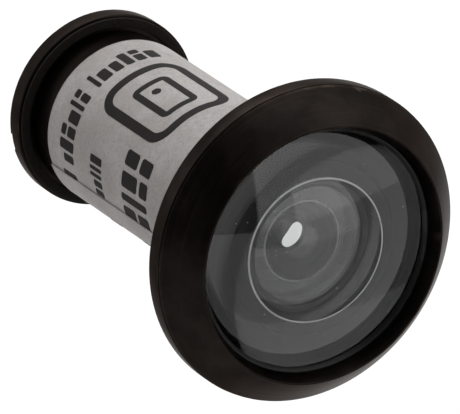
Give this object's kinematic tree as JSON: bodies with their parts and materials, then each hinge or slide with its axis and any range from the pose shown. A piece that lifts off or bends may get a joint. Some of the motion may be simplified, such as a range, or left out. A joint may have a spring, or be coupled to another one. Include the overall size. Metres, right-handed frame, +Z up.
{
  "type": "door viewer",
  "caption": "Wide-angle door viewer: a flanged outer barrel with a large domed lens screws onto a slotted, flanged inner barrel with an eyepiece.",
  "frame": {"origin": "the optical axis at the back of the front flange, the face that lies against the outdoor side of the door", "axes": "+Y runs along the optical axis into the room, so the outdoor lens looks along -Y; +Z is up as the viewer sits in a door; X lies across it"},
  "size_m": [0.035, 0.0501, 0.035],
  "materials": {
    "black_metal": "brass blackened to a satin dark bronze, faint turning marks, bare brown tones on the edges",
    "black_ring": "black anodised, finely turned",
    "black_cell": "matt black anodised against glare",
    "glass": "polished optical crown glass with ground rims",
    "rubber": "matt black",
    "fibre": "black vulcanised fibre",
    "label_paper": "plain self-adhesive paper, warm light grey, printed in dark grey"
  },
  "bodies": {
    "front": {"outer_barrel": "black_metal", "front_bezel": "black_metal", "objective_retaining_ring": "black_ring", "objective_lens": "glass", "objective_gasket": "rubber", "lens_cell": "black_cell", "cell_gasket": "rubber", "cell_front_ring": "black_ring", "second_lens": "glass", "aperture_stop": "black_cell", "third_lens": "glass", "cell_rear_ring": "black_ring", "barrel_label": "label_paper"},
    "washer": {"door_washer": "fibre"},
    "rear": {"inner_barrel": "black_metal", "eyepiece_lens": "glass", "eyepiece_seal": "rubber", "eyepiece_retaining_ring": "black_ring"}
  },
  "joints": [
    {"name": "rear_travel", "type": "slide", "parent": "front", "child": "washer", "axis": [0, 1, 0], "range_m": [0, 0.0165]},
    {"name": "rear_turn", "type": "hinge", "parent": "washer", "child": "rear", "pos_m": [0, 0, 0], "axis": [0, 1, 0], "range_deg": [0, 3960]}
  ],
  "couplings": [
    {"joint": "rear_travel", "follows": "rear_turn", "m_per_rad": 0.00023873}
  ]
}
